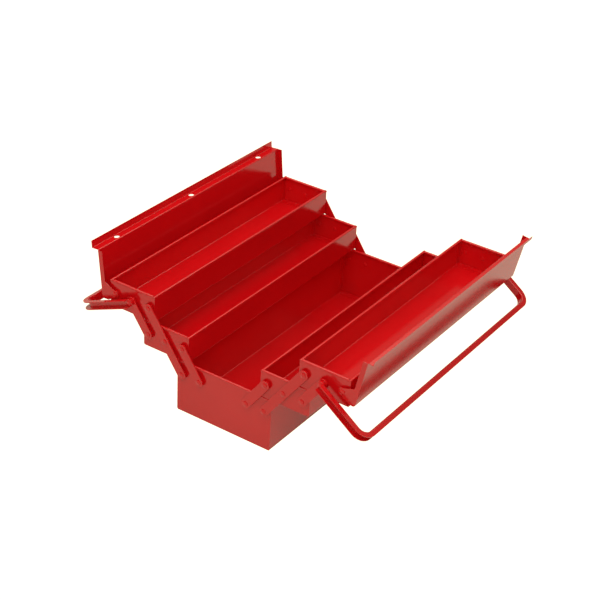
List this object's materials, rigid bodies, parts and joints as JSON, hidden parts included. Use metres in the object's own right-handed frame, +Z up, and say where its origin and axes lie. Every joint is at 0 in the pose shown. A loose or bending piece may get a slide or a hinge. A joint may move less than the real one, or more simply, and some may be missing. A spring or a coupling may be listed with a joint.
{
  "type": "cantilever tool box",
  "caption": "Steel cantilever tool box, open: a bottom box, stepped trays on folding arms to both sides, two hinged lids and two bail handles.",
  "frame": {"origin": "middle of the underside of the bottom box", "axes": "+X across the box to its right-hand stack of trays, +Y along its length to the far end, +Z up"},
  "size_m": [0.6101, 0.5664, 0.2711],
  "materials": {
    "red_enamel": "gloss",
    "painted_fittings": "gloss"
  },
  "bodies": {
    "box": {"box_far_end": "red_enamel", "box_near_end": "red_enamel", "box_rivets": "painted_fittings", "box_shell": "red_enamel", "box_spacers": "painted_fittings"},
    "left_long_arms": {"left_long_arm_near": "painted_fittings", "left_long_arm_far": "painted_fittings"},
    "left_lower_arms": {"left_lower_arm_near": "painted_fittings", "left_lower_arm_far": "painted_fittings"},
    "left_middle_tray": {"left_middle_rivets": "painted_fittings", "left_middle_spacers": "painted_fittings", "left_middle_tray": "red_enamel", "left_middle_tray_far_end": "red_enamel", "left_middle_tray_near_end": "red_enamel"},
    "left_upper_arms": {"left_upper_arm_near": "painted_fittings", "left_upper_arm_far": "painted_fittings"},
    "left_top_tray": {"left_handle_rivets": "painted_fittings", "left_handle_spacers": "painted_fittings", "left_lid_rivets": "painted_fittings", "left_lid_spacers": "painted_fittings", "left_top_rivets": "painted_fittings", "left_top_spacers": "painted_fittings", "left_top_tray": "red_enamel", "left_top_tray_far_end": "red_enamel", "left_top_tray_near_end": "red_enamel"},
    "left_lid": {"left_lid": "red_enamel", "left_lid_near_cheek": "red_enamel", "left_lid_far_cheek": "red_enamel"},
    "left_handle": {"left_handle": "red_enamel"},
    "right_long_arms": {"right_long_arm_near": "painted_fittings", "right_long_arm_far": "painted_fittings"},
    "right_lower_arms": {"right_lower_arm_near": "painted_fittings", "right_lower_arm_far": "painted_fittings"},
    "right_middle_tray": {"right_middle_rivets": "painted_fittings", "right_middle_spacers": "painted_fittings", "right_middle_tray": "red_enamel", "right_middle_tray_far_end": "red_enamel", "right_middle_tray_near_end": "red_enamel"},
    "right_upper_arms": {"right_upper_arm_near": "painted_fittings", "right_upper_arm_far": "painted_fittings"},
    "right_top_tray": {"right_handle_rivets": "painted_fittings", "right_handle_spacers": "painted_fittings", "right_lid_rivets": "painted_fittings", "right_lid_spacers": "painted_fittings", "right_top_rivets": "painted_fittings", "right_top_spacers": "painted_fittings", "right_top_tray": "red_enamel", "right_top_tray_far_end": "red_enamel", "right_top_tray_near_end": "red_enamel"},
    "right_lid": {"right_lid": "red_enamel", "right_lid_near_cheek": "red_enamel", "right_lid_far_cheek": "red_enamel"},
    "right_handle": {"right_handle": "red_enamel"}
  },
  "joints": [
    {"name": "left_fold", "type": "hinge", "parent": "box", "child": "left_long_arms", "pos_m": [-0.0875, 0, 0.079], "axis": [0, 1, 0], "range_deg": [0, 71.28]},
    {"name": "left_lower_arm_turn", "type": "hinge", "parent": "box", "child": "left_lower_arms", "pos_m": [-0.05, 0, 0.079], "axis": [0, 1, 0], "range_deg": [0, 71.28]},
    {"name": "left_middle_tray_turn", "type": "hinge", "parent": "left_long_arms", "child": "left_middle_tray", "pos_m": [-0.125, 0, 0.1313], "axis": [0, 1, 0], "range_deg": [-71.28, 0]},
    {"name": "left_upper_arm_turn", "type": "hinge", "parent": "left_middle_tray", "child": "left_upper_arms", "pos_m": [-0.1625, 0, 0.1313], "axis": [0, 1, 0], "range_deg": [0, 71.28]},
    {"name": "left_top_tray_turn", "type": "hinge", "parent": "left_long_arms", "child": "left_top_tray", "pos_m": [-0.1625, 0, 0.1836], "axis": [0, 1, 0], "range_deg": [-71.28, 0]},
    {"name": "left_lid_hinge", "type": "hinge", "parent": "left_top_tray", "child": "left_lid", "pos_m": [-0.2375, 0, 0.1836], "axis": [0, 1, 0], "range_deg": [0, 95.5]},
    {"name": "left_handle_swing", "type": "hinge", "parent": "left_top_tray", "child": "left_handle", "pos_m": [-0.2, 0, 0.1836], "axis": [0, 1, 0], "range_deg": [0, 133.54]},
    {"name": "right_fold", "type": "hinge", "parent": "box", "child": "right_long_arms", "pos_m": [0.0875, 0, 0.079], "axis": [0, -1, 0], "range_deg": [0, 71.28]},
    {"name": "right_lower_arm_turn", "type": "hinge", "parent": "box", "child": "right_lower_arms", "pos_m": [0.05, 0, 0.079], "axis": [0, -1, 0], "range_deg": [0, 71.28]},
    {"name": "right_middle_tray_turn", "type": "hinge", "parent": "right_long_arms", "child": "right_middle_tray", "pos_m": [0.125, 0, 0.1313], "axis": [0, -1, 0], "range_deg": [-71.28, 0]},
    {"name": "right_upper_arm_turn", "type": "hinge", "parent": "right_middle_tray", "child": "right_upper_arms", "pos_m": [0.1625, 0, 0.1313], "axis": [0, -1, 0], "range_deg": [0, 71.28]},
    {"name": "right_top_tray_turn", "type": "hinge", "parent": "right_long_arms", "child": "right_top_tray", "pos_m": [0.1625, 0, 0.1836], "axis": [0, -1, 0], "range_deg": [-71.28, 0]},
    {"name": "right_lid_hinge", "type": "hinge", "parent": "right_top_tray", "child": "right_lid", "pos_m": [0.2375, 0, 0.1836], "axis": [0, -1, 0], "range_deg": [0, 101]},
    {"name": "right_handle_swing", "type": "hinge", "parent": "right_top_tray", "child": "right_handle", "pos_m": [0.2, 0, 0.1836], "axis": [0, -1, 0], "range_deg": [0, 147.04]}
  ],
  "couplings": [
    {"joint": "left_lower_arm_turn", "follows": "left_fold", "ratio": 1},
    {"joint": "left_middle_tray_turn", "follows": "left_fold", "ratio": -1},
    {"joint": "left_upper_arm_turn", "follows": "left_fold", "ratio": 1},
    {"joint": "left_top_tray_turn", "follows": "left_fold", "ratio": -1},
    {"joint": "left_handle_swing", "follows": "left_lid_hinge", "ratio": 1.3983},
    {"joint": "right_lower_arm_turn", "follows": "right_fold", "ratio": 1},
    {"joint": "right_middle_tray_turn", "follows": "right_fold", "ratio": -1},
    {"joint": "right_upper_arm_turn", "follows": "right_fold", "ratio": 1},
    {"joint": "right_top_tray_turn", "follows": "right_fold", "ratio": -1},
    {"joint": "right_handle_swing", "follows": "right_lid_hinge", "ratio": 1.4558}
  ]
}
